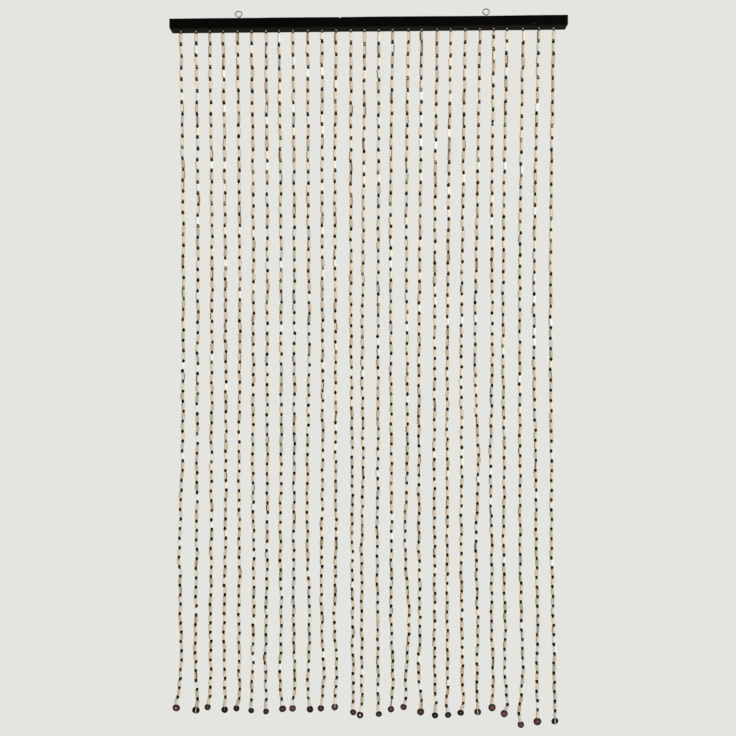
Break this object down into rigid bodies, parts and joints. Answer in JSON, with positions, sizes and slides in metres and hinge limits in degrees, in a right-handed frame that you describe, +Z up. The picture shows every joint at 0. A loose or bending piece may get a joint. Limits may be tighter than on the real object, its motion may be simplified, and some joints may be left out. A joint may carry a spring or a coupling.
{
  "type": "bead curtain with batten",
  "caption": "Bead curtain: strings of pale tube beads and small dark beads, each ending in a drilled shell disc, hung from a square black batten with screw eyes.",
  "frame": {"origin": "level with the inside of the tops of the screw eyes, where their hooks bear, at mid-length and mid-depth of the batten", "axes": "+Z up, +Y towards the wall behind the curtain, +X to the right seen from the front"},
  "size_m": [0.8992, 0.028, 1.6354],
  "materials": {
    "black_paint": "worn black paint on wood",
    "steel": "dull grey zinc-plated wire",
    "bamboo": "bare bamboo tube, cream to tan, satin",
    "dark_bead": "polished near-black seed or wood",
    "thread": "unbleached twisted cotton",
    "shell": "polished coconut shell, dark rim and redder middle"
  },
  "bodies": {
    "root": {"batten": "black_paint", "eye_left": "steel", "eye_right": "steel", "bead_strings": "bamboo", "disc_01": "shell", "disc_02": "shell", "disc_03": "shell", "disc_04": "shell", "disc_05": "shell", "disc_06": "shell", "disc_07": "shell", "disc_08": "shell", "disc_09": "shell", "disc_10": "shell", "disc_11": "shell", "disc_12": "shell", "disc_13": "shell", "disc_14": "shell", "disc_15": "shell", "disc_16": "shell", "disc_17": "shell", "disc_18": "shell", "disc_19": "shell", "disc_20": "shell", "disc_21": "shell", "disc_22": "shell", "disc_23": "shell", "disc_24": "shell", "disc_25": "shell", "disc_26": "shell", "disc_27": "shell"}
  },
  "joints": []
}
